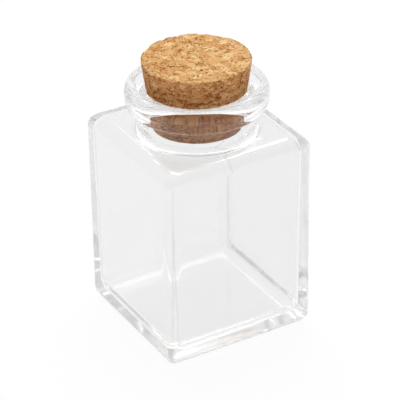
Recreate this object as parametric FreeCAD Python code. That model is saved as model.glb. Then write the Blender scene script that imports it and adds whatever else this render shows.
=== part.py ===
"""A square glass jar closed by a tapered cork stopper.

The jar is one piece of glass: a square body with rounded edges, a cavity with rounder corners, flat
shoulders and a round neck that ends in a thick flared lip. The stopper is one piece of cork that
wedges in the mouth and pulls out upwards. Millimetres, +Z up, origin at the middle of the underside.
"""

import FreeCAD
import Part

import math
import os

# Body, outside
BODY_SIDE = 50.0
BODY_CORNER_RADIUS = 2.0
SHOULDER_HEIGHT = 66.0
SHOULDER_EDGE_RADIUS = 3.7
HEEL_RADIUS = 4.0

# Body, inside: the wall is measured at the shoulder and the draft thickens it towards the base
WALL = 2.2
CAVITY_DRAFT = 0.6
BASE_THICKNESS = 3.8
SHOULDER_THICKNESS = 2.0
CAVITY_CORNER_RADIUS = 2.5
FLOOR_EDGE_RADIUS = 4.5
CEILING_EDGE_RADIUS = 3.0
THROAT_RADIUS = 2.0

# Neck and lip: the neck runs from the shoulder to the underside of the lip, its wall leaves the bore,
# and the top of the lip slopes down into the mouth at the dish angle, in degrees
NECK_DIAMETER = 35.6
NECK_WALL = 2.55
NECK_HEIGHT = 7.0
NECK_FOOT_RADIUS = 2.6
LIP_OVERHANG = 4.05
LIP_HEIGHT = 7.6
LIP_EDGE_RADIUS = 2.8
LIP_ROOT_RADIUS = 1.2
MOUTH_EDGE_RADIUS = 1.2
MOUTH_DISH_ANGLE = 21.0

# Stopper: how far it stands above and reaches below the level where it wedges in the mouth, the
# slope of its side in degrees, and the gap left between it and the mouth there
STOPPER_STAND = 9.85
STOPPER_DEPTH = 11.35
STOPPER_TAPER_ANGLE = 8.45
STOPPER_EDGE_RADIUS = 0.4
SEAT_CLEARANCE = 0.05

# Tolerance for finding an edge by its place
NEAR = 1e-4

UP = FreeCAD.Vector(0, 0, 1)
ORIGIN = FreeCAD.Vector(0, 0, 0)

neck_radius = NECK_DIAMETER / 2
bore_radius = neck_radius - NECK_WALL
lip_radius = neck_radius + LIP_OVERHANG
ceiling_height = SHOULDER_HEIGHT - SHOULDER_THICKNESS
lip_foot = SHOULDER_HEIGHT + NECK_HEIGHT
dish = math.radians(MOUTH_DISH_ANGLE)

# The lip's outer face and its dished top, drawn on to where they would meet above the rounded edge
lip_edge_reach = LIP_EDGE_RADIUS * (1 + math.sin(dish)) / math.cos(dish)
lip_corner_height = lip_foot + LIP_HEIGHT - LIP_EDGE_RADIUS + lip_edge_reach
mouth_height = lip_corner_height - (lip_radius - bore_radius) * math.tan(dish)


def rounded_wire(corners):
    """A closed wire through (point, radius) corners, with a tangent arc wherever a radius is set."""
    runs = []
    for i, (point, radius) in enumerate(corners):
        back = corners[i - 1][0] - point
        ahead = corners[(i + 1) % len(corners)][0] - point
        back.normalize()
        ahead.normalize()
        half_angle = back.getAngle(ahead) / 2
        middle = None
        reach = 0.0
        if radius:
            reach = radius / math.tan(half_angle)
            inward = back + ahead
            inward.normalize()
            middle = point + inward * (radius / math.sin(half_angle) - radius)
        runs.append((point + back * reach, middle, point + ahead * reach))
    edges = []
    for i, (start, middle, end) in enumerate(runs):
        if middle:
            edges.append(Part.Arc(start, middle, end).toShape())
        edges.append(Part.LineSegment(end, runs[(i + 1) % len(runs)][0]).toShape())
    return Part.Wire(edges)


def turned(corners):
    """A solid turned about the Z axis from a half section of (radius, height, corner radius)."""
    wire = rounded_wire([(FreeCAD.Vector(r, 0, z), corner) for r, z, corner in corners])
    return Part.Face(wire).revolve(ORIGIN, UP, 360)


def square(side, height):
    """A level square wire about the Z axis."""
    half = side / 2
    turns = ((-half, -half), (half, -half), (half, half), (-half, half), (-half, -half))
    return Part.makePolygon([FreeCAD.Vector(x, y, height) for x, y in turns])


def rounded_block(foot_side, foot, top_side, top, corner_radius, foot_radius, top_radius):
    """A square block between two heights, with one radius at its foot, its corners and its top."""
    block = doc.addObject("Part::Feature", "block")
    block.Shape = Part.makeLoft([square(foot_side, foot), square(top_side, top)], True, True)
    rounding = doc.addObject("Part::Fillet", "rounding")
    rounding.Base = block
    middle = (foot + top) / 2
    radii = []
    for number, edge in enumerate(block.Shape.Edges, 1):
        box = edge.BoundBox
        if box.ZMin > middle:
            radius = top_radius
        elif box.ZMax < middle:
            radius = foot_radius
        else:
            radius = corner_radius
        radii.append((number, radius, radius))
    rounding.Edges = radii
    doc.recompute()
    return rounding.Shape.copy()


def circle_edges(shape, radius, height):
    """The round edges of a shape at one radius and height."""
    found = []
    for edge in shape.Edges:
        if edge.Degenerated or not isinstance(edge.Curve, Part.Circle):
            continue
        if abs(edge.Curve.Radius - radius) < NEAR and abs(edge.Curve.Center.z - height) < NEAR:
            found.append(edge)
    return found


def glass_jar():
    """The body with its neck and lip, hollowed by the cavity and the bore."""
    body = rounded_block(BODY_SIDE, 0, BODY_SIDE, SHOULDER_HEIGHT,
                         BODY_CORNER_RADIUS, HEEL_RADIUS, SHOULDER_EDGE_RADIUS)
    root_height = (ceiling_height + SHOULDER_HEIGHT) / 2
    neck = turned([
        (bore_radius, root_height, 0),
        (neck_radius, root_height, 0),
        (neck_radius, lip_foot, LIP_ROOT_RADIUS),
        (lip_radius, lip_foot, LIP_EDGE_RADIUS),
        (lip_radius, lip_corner_height, LIP_EDGE_RADIUS),
        (bore_radius, mouth_height, MOUTH_EDGE_RADIUS),
    ])
    jar = body.fuse(neck)
    jar = jar.makeFillet(NECK_FOOT_RADIUS, circle_edges(jar, neck_radius, SHOULDER_HEIGHT))

    ceiling_side = BODY_SIDE - 2 * WALL
    floor_side = ceiling_side - 2 * CAVITY_DRAFT
    cavity = rounded_block(floor_side, BASE_THICKNESS, ceiling_side, ceiling_height,
                           CAVITY_CORNER_RADIUS, FLOOR_EDGE_RADIUS, CEILING_EDGE_RADIUS)
    bore_foot = BASE_THICKNESS + FLOOR_EDGE_RADIUS
    bore = Part.makeCylinder(bore_radius, mouth_height - bore_foot, UP * bore_foot)
    jar = jar.cut(cavity.fuse(bore)).removeSplitter()
    return jar.makeFillet(THROAT_RADIUS, circle_edges(jar, bore_radius, ceiling_height))


def cork_stopper():
    """The cork, whose tapered side meets the rounded edge of the mouth at the clearance."""
    taper = math.tan(math.radians(STOPPER_TAPER_ANGLE))
    # The level of the centre of the mouth's rounded edge, and the cork's radius there
    seat_height = mouth_height - MOUTH_EDGE_RADIUS * (1 - math.sin(dish)) / math.cos(dish)
    standoff = (MOUTH_EDGE_RADIUS + SEAT_CLEARANCE) * math.hypot(1, taper)
    seat_radius = bore_radius + MOUTH_EDGE_RADIUS - standoff
    top = seat_height + STOPPER_STAND
    bottom = seat_height - STOPPER_DEPTH
    return turned([
        (0, bottom, 0),
        (seat_radius - taper * STOPPER_DEPTH, bottom, STOPPER_EDGE_RADIUS),
        (seat_radius + taper * STOPPER_STAND, top, STOPPER_EDGE_RADIUS),
        (0, top, 0),
    ])


doc = FreeCAD.newDocument("jar")
os.makedirs("parts", exist_ok=True)
for name, shape in (("glass_jar", glass_jar()), ("cork_stopper", cork_stopper())):
    shape.exportStep("parts/" + name + ".step")
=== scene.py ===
"""Looks of a square glass jar with a cork stopper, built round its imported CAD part, in metres."""

import math

import bpy
import numpy as np
from mathutils import Matrix, Vector, kdtree


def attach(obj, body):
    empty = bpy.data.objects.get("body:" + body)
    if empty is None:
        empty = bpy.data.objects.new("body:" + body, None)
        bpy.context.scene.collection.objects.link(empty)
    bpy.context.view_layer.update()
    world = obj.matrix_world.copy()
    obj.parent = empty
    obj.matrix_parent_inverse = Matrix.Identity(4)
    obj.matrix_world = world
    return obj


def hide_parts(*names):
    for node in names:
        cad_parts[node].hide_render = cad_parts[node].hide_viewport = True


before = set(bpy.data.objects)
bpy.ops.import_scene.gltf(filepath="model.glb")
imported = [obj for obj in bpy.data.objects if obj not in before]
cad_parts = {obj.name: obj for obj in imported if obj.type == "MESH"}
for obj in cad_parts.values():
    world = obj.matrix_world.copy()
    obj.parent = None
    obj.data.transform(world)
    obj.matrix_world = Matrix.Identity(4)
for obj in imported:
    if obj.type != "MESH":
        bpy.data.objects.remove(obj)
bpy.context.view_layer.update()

# The sizes of the jar and the cork are in millimetres
MM = 0.001
WHITE = (1.0, 1.0, 1.0)

# Jar, outside
BODY_HALF = 25.0
BODY_CORNER = 2.0
SHOULDER_HEIGHT = 66.0
SHOULDER_EDGE = 3.7
HEEL = 4.0

# Jar, inside
CEILING_HALF = 22.8
FLOOR_HALF = 22.2
FLOOR_HEIGHT = 3.8
CEILING_HEIGHT = 64.0
CAVITY_CORNER = 2.5
FLOOR_EDGE = 4.5
CEILING_EDGE = 3.0
THROAT_EDGE = 2.0

# Neck and lip: radii, heights and the radii of rounded edges
BORE = 15.25
NECK = 17.8
NECK_FOOT = 2.6
LIP = 21.85
LIP_FOOT = 73.0
LIP_CREST = 80.6
LIP_EDGE = 2.8
LIP_ROOT = 1.2
MOUTH_EDGE = 1.2
DISH = math.radians(21.0)

# Grid of the jar: points in a quarter turn, how evenly they spread from the corner to the face, the
# half side and corner of its smallest ring, and the steps of the straight stretches between arcs
QUARTER_POINTS = 112
CORNER_EVENNESS = 0.35
HUB_HALF = 0.5
HUB_CORNER = 0.2
OUTSIDE_STEPS = (8, 30, 12, 4, 2, 3)
INSIDE_STEPS = (8, 10, 30, 10)

# Rings on each arc of the jar's section
HEEL_RINGS = 14
SHOULDER_RINGS = 14
NECK_FOOT_RINGS = 12
LIP_ROOT_RINGS = 9
LIP_FOOT_RINGS = 16
LIP_CREST_RINGS = 20
MOUTH_RINGS = 12
THROAT_RINGS = 12
CEILING_RINGS = 24
FLOOR_RINGS = 16

# Unevenness of the walls: how deep its waves are inside and outside, how long they are, how far they
# take to fade at the top and bottom of a wall, and where they fade from the corner to the face, as
# the smaller distance from the axis over the larger
INNER_WAVE = 0.12
OUTER_WAVE = 0.05
WAVE_LENGTH = 16.0
WAVE_FADE = 8.0
WAVE_CORNER = (0.9, 0.6)
WAVE_SHIFT = 100.0
WAVE_SEED = 8

# Glass: the dullness of the moulded body and of the neck, and the heights between which it changes;
# the tint and the polish change from place to place by noise, whose scales are per metre
FACE_ROUGHNESS = 0.07
NECK_ROUGHNESS = 0.05
NECK_POLISH = (CEILING_HEIGHT, SHOULDER_HEIGHT + 2.0)
GLASS_IOR = 1.5
GLASS_DENSITY = 2.0
GLASS_ABSORBED = (0.5, 0.5, 0.5, 1.0)
GLASS_TINTS = ((0.3, (0.950, 0.954, 0.953)), (0.7, (0.958, 0.959, 0.957)))
TINT_SCALE = 45.0
TINT_DETAIL = 2.0
POLISH_RANGE = (0.7, 1.3)
POLISH_SCALE = 160.0
POLISH_DETAIL = 3.0

# Cork, and its grid: squares across an end, points on an edge and the height of a row on the side
CORK_FOOT = 67.166
CORK_TOP = 88.366
CORK_FOOT_RADIUS = 13.513
CORK_TOP_RADIUS = 16.65
CORK_EDGE = 0.4
END_SPAN = 176
EDGE_POINTS = 6
ROW_HEIGHT = 0.17

# Crumbs of cork: how wide they are, how much flatter than wide, and how their borders wander. Here
# and below, a shift moves the noise so that no two uses of it look alike
CRUMB_SIZE = 2.1
CRUMB_FLATNESS = 1.35
CRUMB_SEED = 11
WANDER = 0.9
WANDER_LENGTH = 0.9
CORK_NOISE_SEEDS = (3, 4, 5)

# What belongs to the side of the cork, by how steeply its surface faces up or down
SIDE_SLOPE = (0.3, 0.9)

# Cracks: which borders open, more of them on the side, in which patches, and how wide
CRACK_FROM = 0.62
CRACK_FROM_SIDE = 0.2
CRACK_FULL = 0.95
CRACK_PATCH = (0.3, 0.7)
CRACK_PATCH_LENGTH = 1.7
CRACK_WIDTH = (0.04, 0.3)

# Pits, few on the ends and more on the side
PIT_LIMITS = (0.80, 0.92)
PIT_LENGTH = 0.6
PIT_SHIFT = 9.0
PIT_SHARE = 0.05
PIT_SHARE_SIDE = 0.6

# Flecks of bark: their width and length, how level they lie on the side, and where they gather
FLECK_LEVEL = 0.92
FLECK_WIDTH = 0.36
FLECK_LENGTH = 1.5
FLECK_LENGTH_SIDE = 0.9
FLECK_PATCH_LENGTH = 1.6
FLECK_PATCH_SHIFT = 40.0
FLECK_PATCH_SHARE = 0.35
FLECK_SIDE_SHARE = 0.06
FLECK_LIMITS = (0.52, 0.85)

# Chips out of the top rim, and how far from it they reach
CHIP_LIMITS = (0.4, 0.8)
CHIP_LENGTH = 1.7
CHIP_SHIFT = 21.0
CHIP_REACH = (1.0, 0.2)

# How deep all of this is cut, with a fine roughness, and with some crumbs on the side sunk
DARK_DEPTH = 0.2
FLECK_DEPTH = 0.08
ROUGH_DEPTH = 0.06
ROUGH_LENGTH = 0.5
SUNK_DEPTH = 0.06
CHIP_DEPTH = 0.5

# Painted shade on the part of the cork that sits in the neck: how far below the top the cork darkens
# towards its lower end, and how unevenly
LOWER_SHADE_FROM = 5.0
LOWER_SHADE_FULL = 17.0
LOWER_SHADE_SPREAD = 3.0

# Colours of the cork over each of its attributes, which are multiplied
CORK_ROUGHNESS = 0.85
CORK_SHINE = 0.25
CRUMB_COLOURS = ((0.0, (0.56, 0.27, 0.09)), (0.35, (0.66, 0.37, 0.15)),
                 (0.7, (0.72, 0.44, 0.19)), (1.0, (0.80, 0.55, 0.28)))
FLECK_COLOURS = ((0.0, WHITE), (0.5, (0.78, 0.66, 0.55)), (1.0, (0.50, 0.36, 0.26)))
# Painted light and shade: the ends are dimmed and the side made warmer, setting how much lighter the top
# looks than the side
SIDE_LIGHT_COLOURS = ((0.0, (0.77, 0.785, 0.79)), (1.0, (1.0, 0.85, 0.78)))
# Painted shade, darker and more orange towards the cork's lower end
LOWER_SHADE_COLOURS = ((0.0, WHITE), (1.0, (1.0, 0.84, 0.62)))
DARK_COLOURS = ((0.0, WHITE), (0.4, (0.60, 0.48, 0.38)), (1.0, (0.22, 0.14, 0.10)))

# Camera, fitted to the photograph: it looks at a point near the axis from this side and height
CAMERA_TURN = math.radians(-29.98)
CAMERA_RISE = math.radians(30.44)
CAMERA_ROLL = math.radians(-0.97)
CAMERA_DISTANCE = 665.17
CAMERA_AIM_HEIGHT = 39.64
CAMERA_AIM_SIDE = 0.41
CAMERA_LENS = 195.26
CAMERA_SENSOR = 36.0
CAMERA_CLIP = (0.01, 20.0)

# Floor: matt grey in the light, and white by its own glow to the camera and through the glass. The
# glow has a strength and a share of the mix for each kind of ray
GROUND_HALF = 3000.0
GROUND_GAP = 0.1
GROUND_GREY = (0.8, 0.8, 0.8, 1.0)
GLOW_STRENGTHS = (("Is Camera Ray", 1.0), ("Is Glossy Ray", 0.945))
GLOW_SHARES = (("Is Camera Ray", 0.95), ("Is Transmission Ray", 0.97), ("Is Glossy Ray", 0.5))

# World: the light on matt surfaces, and the skies that the glass mirrors and that show through it, as
# a direction and two pairs of how far a ray points along it and the strength there
AMBIENT = 0.62
MIRRORED_SKY = ((-0.5, -0.866, 0.0), (-0.3, 0.9), (0.4, 0.3))
REFRACTED_SKY = ((0.2, -0.87, 0.45), (-0.2, 0.95), (0.6, 0.7))

# Lamp behind the jar, in metres and watts
LAMP_PLACE = Vector((0.15, 0.26, 0.6))
LAMP_AIM = Vector((0.0, 0.0, 0.05))
LAMP_SIZE = 0.5
LAMP_POWER = 4.6

GLASS_BOUNCES = 64

scene = bpy.context.scene


def smoothstep(low, high, value):
    """0 below low, 1 above high, smooth between; low may be the higher of the two."""
    t = np.clip((value - low) / (high - low), 0.0, 1.0)
    return t * t * (3.0 - 2.0 * t)


class Lattice:
    """Smooth noise between 0 and 1 on a repeating grid of random values."""

    def __init__(self, seed, size=32):
        self.size = size
        self.values = np.random.RandomState(seed).rand(size, size, size)

    def at(self, points, wavelength):
        """The noise at some points, in waves of about the given length."""
        scaled = points / wavelength
        base = np.floor(scaled).astype(int)
        part = scaled - base
        part = part * part * (3.0 - 2.0 * part)
        total = np.zeros(len(points))
        for corner in np.ndindex(2, 2, 2):
            weight = np.prod(np.where(corner, part, 1.0 - part), axis=1)
            i, j, k = ((base + corner) % self.size).T
            total += weight * self.values[i, j, k]
        return total


def add_object(name, data):
    """A new object in the scene."""
    obj = bpy.data.objects.new(name, data)
    scene.collection.objects.link(obj)
    return obj


def add_mesh(name, vertices, faces):
    """A smooth-shaded mesh object from points in millimetres."""
    mesh = bpy.data.meshes.new(name)
    mesh.from_pydata((np.asarray(vertices) * MM).tolist(), [], faces)
    mesh.polygons.foreach_set("use_smooth", [True] * len(mesh.polygons))
    mesh.update()
    return add_object(name, mesh)


def store(obj, name, values):
    """Keeps a number for each point of a mesh, for its material to read."""
    kept = obj.data.attributes.new(name, "FLOAT", "POINT")
    kept.data.foreach_set("value", values.astype(np.float32))


# The jar's section is a chain of rings (half side, corner, height), from the middle of the underside
# up the outside, over the lip and down the inside to the middle of the floor
def run(start, end, count):
    """Rings on a straight stretch between two rings, closer together near its ends."""
    u = (1.0 - np.cos(np.pi * np.arange(1, count) / count)) / 2.0
    start = np.array(start)
    end = np.array(end)
    return [tuple(start + (end - start) * t) for t in u]


def bend(centre, radius, first, last, count, corner=None):
    """Rings on an arc of the section. Angles go from outwards, 0, to upwards, 90 degrees.
    With no corner radius given, the rings are round."""
    rings = []
    for angle in np.radians(np.linspace(first, last, count)):
        half = centre[0] + radius * math.cos(angle)
        height = centre[1] + radius * math.sin(angle)
        rings.append((half, half if corner is None else corner, height))
    return rings


def joined(arcs, counts):
    """Arcs of rings with straight stretches between them."""
    rings = list(arcs[0])
    for arc, count in zip(arcs[1:], counts):
        rings += run(rings[-1], arc[0], count)
        rings += arc
    return rings


def jar_rings():
    """The rings from the underside to the top of the lip, and those from the mouth to the floor."""
    lip_reach = LIP_EDGE * (1.0 + math.sin(DISH)) / math.cos(DISH)
    lip_corner = LIP_CREST - LIP_EDGE + lip_reach
    mouth_height = lip_corner - (LIP - BORE) * math.tan(DISH)
    seat_height = mouth_height - MOUTH_EDGE * (1.0 - math.sin(DISH)) / math.cos(DISH)
    crest_end = 90 + math.degrees(DISH)
    draft = math.degrees(math.atan2(CEILING_HALF - FLOOR_HALF, CEILING_HEIGHT - FLOOR_HEIGHT))
    shoulder_middle = (BODY_HALF - SHOULDER_EDGE, SHOULDER_HEIGHT - SHOULDER_EDGE)
    ceiling_middle = (CEILING_HALF - CEILING_EDGE, CEILING_HEIGHT - CEILING_EDGE)
    floor_middle = (FLOOR_HALF - FLOOR_EDGE, FLOOR_HEIGHT + FLOOR_EDGE)
    outside = [
        [(HUB_HALF, HUB_CORNER, 0.0)],
        bend((BODY_HALF - HEEL, HEEL), HEEL, -90, 0, HEEL_RINGS, BODY_CORNER),
        bend(shoulder_middle, SHOULDER_EDGE, 0, 90, SHOULDER_RINGS, BODY_CORNER),
        bend((NECK + NECK_FOOT, SHOULDER_HEIGHT + NECK_FOOT), NECK_FOOT, 270, 180, NECK_FOOT_RINGS),
        bend((NECK + LIP_ROOT, LIP_FOOT - LIP_ROOT), LIP_ROOT, 180, 90, LIP_ROOT_RINGS),
        bend((LIP - LIP_EDGE, LIP_FOOT + LIP_EDGE), LIP_EDGE, -90, 0, LIP_FOOT_RINGS),
        bend((LIP - LIP_EDGE, LIP_CREST - LIP_EDGE), LIP_EDGE, 0, crest_end, LIP_CREST_RINGS),
    ]
    inside = [
        bend((BORE + MOUTH_EDGE, seat_height), MOUTH_EDGE, crest_end, 180, MOUTH_RINGS),
        bend((BORE + THROAT_EDGE, CEILING_HEIGHT + THROAT_EDGE), THROAT_EDGE, 180, 270, THROAT_RINGS),
        bend(ceiling_middle, CEILING_EDGE, 90, -draft, CEILING_RINGS, CAVITY_CORNER),
        bend(floor_middle, FLOOR_EDGE, -draft, -90, FLOOR_RINGS, CAVITY_CORNER),
        [(HUB_HALF, HUB_CORNER, FLOOR_HEIGHT)],
    ]
    return joined(outside, OUTSIDE_STEPS), joined(inside, INSIDE_STEPS)


def ring_radius(half, corner, along, across):
    """How far a square of that half side with rounded corners reaches, in directions given by the
    larger and the smaller share of their cosine and sine."""
    straight = half / along
    middle = half - corner
    reach = middle * (along + across)
    arc = reach + np.sqrt(np.maximum(reach * reach - 2.0 * middle * middle + corner * corner, 0.0))
    return np.where(straight * across <= middle, straight, arc)


def uneven(points, depth, low, high):
    """Draws the flat walls between two heights inwards by smooth waves, up to the given depth."""
    share = Lattice(WAVE_SEED).at(points + WAVE_SHIFT, WAVE_LENGTH)
    height = points[:, 2]
    share *= smoothstep(low, low + WAVE_FADE, height) * smoothstep(high, high - WAVE_FADE, height)
    reach = np.abs(points[:, :2])
    share *= smoothstep(*WAVE_CORNER, reach.min(axis=1) / reach.max(axis=1))
    points[:, :2] *= 1.0 - (share * depth / BODY_HALF)[:, None]


def glass_jar():
    """The jar: its rings joined by faces, and closed at the middle of the underside and of the floor."""
    u = np.arange(QUARTER_POINTS) / QUARTER_POINTS * 2.0 - 1.0
    quarter = 45.0 * (CORNER_EVENNESS * u + (1.0 - CORNER_EVENNESS) * u ** 3)
    turn = np.radians(np.concatenate([quarter + 45.0 + 90.0 * q for q in range(4)]))
    cosine = np.cos(turn)
    sine = np.sin(turn)
    along = np.maximum(np.abs(cosine), np.abs(sine))
    across = np.minimum(np.abs(cosine), np.abs(sine))
    outside, inside = jar_rings()
    rings = outside + inside
    count = len(turn)
    points = []
    for half, corner, height in rings:
        radius = ring_radius(half, min(corner, half), along, across)
        points.append(np.stack([radius * cosine, radius * sine, np.full(count, height)], axis=1))
    vertices = np.concatenate(points + [[[0.0, 0.0, 0.0], [0.0, 0.0, FLOOR_HEIGHT]]])
    mouth = len(outside) * count
    foot = len(rings) * count
    uneven(vertices[:mouth], OUTER_WAVE, HEEL, SHOULDER_HEIGHT - SHOULDER_EDGE)
    uneven(vertices[mouth:foot], INNER_WAVE, FLOOR_HEIGHT, CEILING_HEIGHT - CEILING_EDGE)
    last = foot - count
    faces = []
    for j in range(count):
        k = (j + 1) % count
        faces.append((foot, k, j))
        faces.append((foot + 1, last + j, last + k))
        for i in range(len(rings) - 1):
            a = i * count
            b = a + count
            faces.append((a + j, a + k, b + k, b + j))
    obj = add_mesh("jar", vertices, faces)
    # The neck and lip are fire polished, the moulded body is duller
    neck = smoothstep(*NECK_POLISH, vertices[:, 2])
    store(obj, "dull", FACE_ROUGHNESS + (NECK_ROUGHNESS - FACE_ROUGHNESS) * neck)
    return obj


jar = glass_jar()
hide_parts("glass_jar")
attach(jar, "jar")


# The cork is a square grid on each end, drawn out to a disc, with rings of points down the side
# between them. Crumbs are cells about scattered middles, and cracks, pits and chips are cut inwards
def end_grid():
    """Points of a square grid drawn out to a disc of radius 1, the order of those on its rim, and
    the squares between them."""
    span = np.linspace(-1.0, 1.0, END_SPAN + 1)
    a, b = np.meshgrid(span, span, indexing="ij")
    wide = np.abs(a) > np.abs(b)
    radius = np.where(wide, a, b)
    safe = np.where(radius == 0.0, 1.0, radius)
    angle = np.where(wide, b / safe, 2.0 - a / safe) * math.pi / 4.0
    disc = np.stack([radius * np.cos(angle), radius * np.sin(angle)], axis=-1).reshape(-1, 2)
    index = np.arange((END_SPAN + 1) ** 2).reshape(END_SPAN + 1, END_SPAN + 1)
    borders = (index[-1], index[::-1, -1], index[0, ::-1], index[:, 0])
    rim = np.concatenate([border[:-1] for border in borders])
    squares = np.stack([index[:-1, :-1], index[1:, :-1], index[1:, 1:], index[:-1, 1:]], axis=-1)
    return disc, rim, squares.reshape(-1, 4)


def cork_profile():
    """(radius, height, slope of the outward normal) of the rings from the top rim to the foot rim."""
    taper = math.atan2(CORK_TOP_RADIUS - CORK_FOOT_RADIUS, CORK_TOP - CORK_FOOT)
    top_reach = CORK_EDGE / math.tan((math.pi / 2.0 - taper) / 2.0)
    foot_reach = CORK_EDGE / math.tan((math.pi / 2.0 + taper) / 2.0)
    profile = []
    for middle, height, first, last in (
            (CORK_TOP_RADIUS - top_reach, CORK_TOP - CORK_EDGE, math.pi / 2.0, -taper),
            (CORK_FOOT_RADIUS - foot_reach, CORK_FOOT + CORK_EDGE, -taper, -math.pi / 2.0)):
        arc = [(middle + CORK_EDGE * math.cos(t), height + CORK_EDGE * math.sin(t), t)
               for t in np.linspace(first, last, EDGE_POINTS)]
        if profile:
            start = np.array(profile[-1])
            end = np.array(arc[0])
            rows = int((start[1] - end[1]) / ROW_HEIGHT)
            profile += [tuple(start + (end - start) * i / rows) for i in range(1, rows)]
        profile += arc
    return profile


def cork_grid():
    """The smooth cork: points, outward normals and faces."""
    disc, rim, squares = end_grid()
    profile = cork_profile()
    turn = np.arctan2(disc[rim, 1], disc[rim, 0])
    cosine = np.cos(turn)
    sine = np.sin(turn)
    level = np.ones(len(rim))
    points = []
    normals = []
    for radius, height, up_down in ((profile[0][0], CORK_TOP, 1.0), (profile[-1][0], CORK_FOOT, -1.0)):
        points.append(np.column_stack([disc * radius, np.full(len(disc), height)]))
        normals.append(np.tile([0.0, 0.0, up_down], (len(disc), 1)))
    for radius, height, slope in profile[1:-1]:
        outward = math.cos(slope)
        points.append(np.column_stack([radius * cosine, radius * sine, height * level]))
        normals.append(np.column_stack([outward * cosine, outward * sine, math.sin(slope) * level]))
    rings = [rim]
    rings += [2 * len(disc) + i * len(rim) + np.arange(len(rim)) for i in range(len(profile) - 2)]
    rings.append(len(disc) + rim)
    faces = [squares, squares[:, ::-1] + len(disc)]
    for upper, lower in zip(rings[:-1], rings[1:]):
        faces.append(np.stack([upper, np.roll(upper, -1), np.roll(lower, -1), lower], axis=1))
    return np.concatenate(points), np.concatenate(normals), np.concatenate(faces)


def crumbs(points):
    """For each point: the crumb it lies in, the crumb next to it there, and how far the point lies
    inside the border between them. Also four random numbers for each crumb."""
    stretch = np.array([1.0, 1.0, CRUMB_FLATNESS])
    random = np.random.RandomState(CRUMB_SEED)
    low = points.min(axis=0) * stretch - 2.0 * CRUMB_SIZE
    high = points.max(axis=0) * stretch + 2.0 * CRUMB_SIZE
    counts = np.ceil((high - low) / CRUMB_SIZE).astype(int)
    middles = low + (np.argwhere(np.ones(counts)) + random.rand(counts.prod(), 3)) * CRUMB_SIZE
    finder = kdtree.KDTree(len(middles))
    for i, middle in enumerate(middles):
        finder.insert(middle, i)
    finder.balance()
    nearest = np.empty(len(points), int)
    second = np.empty(len(points), int)
    border = np.empty(len(points))
    for i, point in enumerate(points * stretch):
        (_, first_id, first_far), (_, second_id, second_far) = finder.find_n(point, 2)
        nearest[i] = first_id
        second[i] = second_id
        border[i] = second_far - first_far
    return nearest, second, border, random.rand(len(middles), 4)


def cork_stopper():
    """The cork, cut inwards from its smooth form, with the attributes that colour it."""
    points, normals, faces = cork_grid()
    lattices = [Lattice(seed) for seed in CORK_NOISE_SEEDS]
    lattice, other, third = lattices
    wander = np.stack([noise.at(points, WANDER_LENGTH) for noise in lattices], axis=1) - 0.5
    nearest, second, border, numbers = crumbs(points + WANDER * wander)
    side = 1.0 - smoothstep(*SIDE_SLOPE, np.abs(normals[:, 2]))
    tint = numbers[nearest, 0]

    # Cracks run along some of the borders between crumbs, and pits are scattered over them
    pair = (numbers[nearest, 1] + numbers[second, 1]) % 1.0
    crack = smoothstep(CRACK_FROM - CRACK_FROM_SIDE * side, CRACK_FULL, pair)
    crack *= smoothstep(*CRACK_PATCH, lattice.at(points, CRACK_PATCH_LENGTH))
    crack *= 1.0 - smoothstep(*CRACK_WIDTH, border)
    pit = smoothstep(*PIT_LIMITS, third.at(points + PIT_SHIFT, PIT_LENGTH))
    pit *= PIT_SHARE + PIT_SHARE_SIDE * side
    dark = np.clip(crack + pit, 0.0, 1.0)

    # Flecks of bark lie in each crumb's own direction, and nearly level on the side
    heading = numbers[nearest, 1:4] - 0.5
    heading[:, 2] *= 1.0 - FLECK_LEVEL * side
    heading /= np.linalg.norm(heading, axis=1, keepdims=True)
    along = np.sum(points * heading, axis=1, keepdims=True) * heading
    length = FLECK_LENGTH + FLECK_LENGTH_SIDE * side
    grain = other.at((points - along) / FLECK_WIDTH + along / length[:, None], 1.0)
    patch = lattice.at(points + FLECK_PATCH_SHIFT, FLECK_PATCH_LENGTH)
    gathered = FLECK_PATCH_SHARE * (patch - 0.5)
    fleck = smoothstep(*FLECK_LIMITS, grain + gathered + FLECK_SIDE_SHARE * side)

    # Chips are broken out of the top rim
    rim_far = np.abs(np.hypot(points[:, 0], points[:, 1]) - CORK_TOP_RADIUS)
    chip = smoothstep(*CHIP_LIMITS, lattice.at(points + CHIP_SHIFT, CHIP_LENGTH))
    chip *= smoothstep(*CHIP_REACH, rim_far + (CORK_TOP - points[:, 2]))
    depth = DARK_DEPTH * dark + FLECK_DEPTH * fleck
    depth += ROUGH_DEPTH * other.at(points, ROUGH_LENGTH)
    depth += SUNK_DEPTH * tint * side
    depth += CHIP_DEPTH * chip
    obj = add_mesh("cork", points - normals * depth[:, None], faces.tolist())
    uneven_height = points[:, 2] + LOWER_SHADE_SPREAD * (tint - 0.5)
    store(obj, "tint", tint)
    store(obj, "dark", dark)
    store(obj, "fleck", fleck)
    store(obj, "side", side)
    # Painted shade on the lower part of the cork, where it sits in the neck
    store(obj, "lower_shade", smoothstep(CORK_TOP - LOWER_SHADE_FROM, CORK_TOP - LOWER_SHADE_FULL, uneven_height))
    return obj


cork = cork_stopper()
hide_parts("cork_stopper")
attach(cork, "stopper")


def new_material(obj, name):
    """A new material on an object, as its node tree."""
    material = bpy.data.materials.new(name)
    material.use_nodes = True
    obj.data.materials.append(material)
    return material.node_tree


def add_node(tree, kind, **values):
    """A node, with its properties set by name."""
    node = tree.nodes.new("ShaderNode" + kind)
    for name, value in values.items():
        setattr(node, name, value)
    return node


def link(tree, source, target):
    """Joins an output of one node to an input of another."""
    tree.links.new(source, target)


def attribute(tree, name):
    """A number that the mesh keeps for each of its points."""
    return add_node(tree, "Attribute", attribute_name=name).outputs["Fac"]


def noise_texture(tree, scale, detail):
    """Noise fixed to the object, with its scale per metre."""
    node = add_node(tree, "TexNoise")
    node.inputs["Scale"].default_value = scale
    node.inputs["Detail"].default_value = detail
    link(tree, add_node(tree, "TexCoord").outputs["Object"], node.inputs["Vector"])
    return node.outputs["Fac"]


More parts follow.
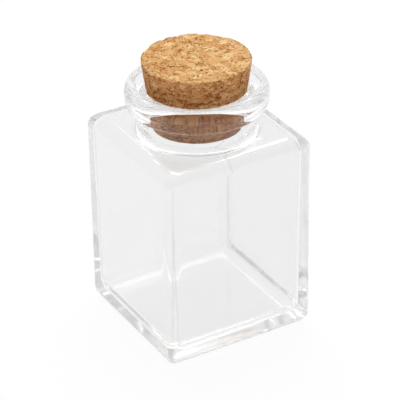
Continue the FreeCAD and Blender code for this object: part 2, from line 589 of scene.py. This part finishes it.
def ramp(tree, source, stops):
    """A colour ramp over stops of (place, linear colour)."""
    node = add_node(tree, "ValToRGB")
    elements = node.color_ramp.elements
    while len(elements) < len(stops):
        elements.new(1.0)
    for element, (place, colour) in zip(elements, stops):
        element.position = place
        element.color = (*colour, 1.0)
    link(tree, source, node.inputs["Fac"])
    return node.outputs["Color"]


def multiplied(tree, first, second):
    """One colour times another. The colours are sockets 6 and 7 of the node and come out at 2."""
    node = add_node(tree, "Mix", data_type="RGBA", blend_type="MULTIPLY")
    node.inputs["Factor"].default_value = 1.0
    link(tree, first, node.inputs[6])
    link(tree, second, node.inputs[7])
    return node.outputs[2]


def calculated(tree, operation, first, second):
    """The output of a Math node on two values, of which the second may be a number."""
    node = add_node(tree, "Math", operation=operation)
    link(tree, first, node.inputs[0])
    if isinstance(second, float):
        node.inputs[1].default_value = second
    else:
        link(tree, second, node.inputs[1])
    return node.outputs[0]


def scaled_rays(tree, shares):
    """The largest of some Light Path outputs, each times its share."""
    path = add_node(tree, "LightPath")
    parts = [calculated(tree, "MULTIPLY", path.outputs[ray], share) for ray, share in shares]
    largest = parts[0]
    for part in parts[1:]:
        largest = calculated(tree, "MAXIMUM", largest, part)
    return largest


def mixed(tree, share, first, second):
    """The output of a mix of two shaders."""
    node = add_node(tree, "MixShader")
    link(tree, share, node.inputs["Fac"])
    link(tree, first, node.inputs[1])
    link(tree, second, node.inputs[2])
    return node.outputs[0]


# Glass: its tint and its polish change a little from place to place
tree = new_material(jar, "clear_glass")
shader = tree.nodes["Principled BSDF"]
shader.inputs["IOR"].default_value = GLASS_IOR
shader.inputs["Transmission Weight"].default_value = 1.0
tint = ramp(tree, noise_texture(tree, TINT_SCALE, TINT_DETAIL), GLASS_TINTS)
link(tree, tint, shader.inputs["Base Color"])
polish = add_node(tree, "MapRange")
polish.inputs["To Min"].default_value = POLISH_RANGE[0]
polish.inputs["To Max"].default_value = POLISH_RANGE[1]
link(tree, noise_texture(tree, POLISH_SCALE, POLISH_DETAIL), polish.inputs["Value"])
roughness = calculated(tree, "MULTIPLY", attribute(tree, "dull"), polish.outputs["Result"])
link(tree, roughness, shader.inputs["Roughness"])
absorption = add_node(tree, "VolumeAbsorption")
absorption.inputs["Color"].default_value = GLASS_ABSORBED
absorption.inputs["Density"].default_value = GLASS_DENSITY
link(tree, absorption.outputs[0], tree.nodes["Material Output"].inputs["Volume"])

# Cork: a colour for each crumb, darker in flecks, cracks and pits; painted light and shade leave the
# ends dimmer and greyer than the side, and painted shade darkens it lower down
tree = new_material(cork, "cork")
shader = tree.nodes["Principled BSDF"]
shader.inputs["Roughness"].default_value = CORK_ROUGHNESS
shader.inputs["Specular IOR Level"].default_value = CORK_SHINE
colour = ramp(tree, attribute(tree, "tint"), CRUMB_COLOURS)
# The side colours are painted light and shade between the ends and the side, and the lower colours are
# painted shade
for name, stops in (("fleck", FLECK_COLOURS), ("side", SIDE_LIGHT_COLOURS),
                    ("lower_shade", LOWER_SHADE_COLOURS), ("dark", DARK_COLOURS)):
    colour = multiplied(tree, colour, ramp(tree, attribute(tree, name), stops))
link(tree, colour, shader.inputs["Base Color"])

# Camera
back = Vector((math.sin(CAMERA_TURN) * math.cos(CAMERA_RISE),
               -math.cos(CAMERA_TURN) * math.cos(CAMERA_RISE),
               math.sin(CAMERA_RISE)))
level = Vector((math.cos(CAMERA_TURN), math.sin(CAMERA_TURN), 0.0))
upright = back.cross(level)
right = math.cos(CAMERA_ROLL) * level + math.sin(CAMERA_ROLL) * upright
up = math.cos(CAMERA_ROLL) * upright - math.sin(CAMERA_ROLL) * level
place = (right * CAMERA_AIM_SIDE + Vector((0, 0, CAMERA_AIM_HEIGHT)) + back * CAMERA_DISTANCE) * MM
camera = add_object("camera", bpy.data.cameras.new("camera"))
camera.matrix_world = Matrix.Translation(place) @ Matrix((right, up, back)).transposed().to_4x4()
camera.data.sensor_width = CAMERA_SENSOR
camera.data.lens = CAMERA_LENS
camera.data.clip_start, camera.data.clip_end = CAMERA_CLIP
scene.camera = camera

# Floor, just under the jar
corners = ((-1, -1), (1, -1), (1, 1), (-1, 1))
floor = add_mesh("floor", [(x * GROUND_HALF, y * GROUND_HALF, -GROUND_GAP) for x, y in corners],
                 [(0, 1, 2, 3)])
tree = new_material(floor, "floor")
tree.nodes.clear()
matt = add_node(tree, "BsdfDiffuse")
matt.inputs["Color"].default_value = GROUND_GREY
glow = add_node(tree, "Emission")
glow.inputs["Color"].default_value = (*WHITE, 1.0)
link(tree, scaled_rays(tree, GLOW_STRENGTHS), glow.inputs["Strength"])
surface = mixed(tree, scaled_rays(tree, GLOW_SHARES), matt.outputs[0], glow.outputs[0])
link(tree, surface, add_node(tree, "OutputMaterial").inputs["Surface"])

# World: white to the camera, and dimmer on the camera's side in what the glass mirrors or lets
# through. A refracted ray counts as a glossy one too, so its sky is mixed in later
world = bpy.data.worlds.new("studio")
scene.world = world
world.use_nodes = True
tree = world.node_tree
tree.nodes.clear()


def background(strength):
    """White light from all round, of a strength that may be a number."""
    node = add_node(tree, "Background")
    node.inputs["Color"].default_value = (*WHITE, 1.0)
    if isinstance(strength, float):
        node.inputs["Strength"].default_value = strength
    else:
        link(tree, strength, node.inputs["Strength"])
    return node.outputs[0]


def sky(towards, first, last):
    """A white background whose strength changes smoothly between (facing, strength) pairs, where
    facing is how far a ray points along the given direction."""
    facing = add_node(tree, "VectorMath", operation="DOT_PRODUCT")
    facing.inputs[1].default_value = towards
    link(tree, add_node(tree, "TexCoord").outputs["Generated"], facing.inputs[0])
    falloff = add_node(tree, "MapRange", interpolation_type="SMOOTHSTEP")
    for side, (along, strength) in (("Min", first), ("Max", last)):
        falloff.inputs["From " + side].default_value = along
        falloff.inputs["To " + side].default_value = strength
    link(tree, facing.outputs["Value"], falloff.inputs["Value"])
    return background(falloff.outputs["Result"])


path = add_node(tree, "LightPath")
shown = background(AMBIENT)
for ray, source in (("Is Glossy Ray", sky(*MIRRORED_SKY)),
                    ("Is Transmission Ray", sky(*REFRACTED_SKY)),
                    ("Is Camera Ray", background(1.0))):
    shown = mixed(tree, path.outputs[ray], shown, source)
link(tree, shown, add_node(tree, "OutputWorld").inputs["Surface"])

# Lamp, which leaves no glints on the glass but shows through it
lamp_data = bpy.data.lights.new("softbox", "AREA")
lamp_data.shape = "SQUARE"
lamp_data.size = LAMP_SIZE
lamp_data.energy = LAMP_POWER
lamp = add_object("softbox", lamp_data)
lamp.location = LAMP_PLACE
lamp.visible_glossy = False
lamp.rotation_mode = "QUATERNION"
lamp.rotation_quaternion = (LAMP_AIM - LAMP_PLACE).to_track_quat("-Z", "Y")

scene.view_settings.view_transform = "Standard"
scene.cycles.max_bounces = GLASS_BOUNCES
scene.cycles.glossy_bounces = GLASS_BOUNCES
scene.cycles.transmission_bounces = GLASS_BOUNCES
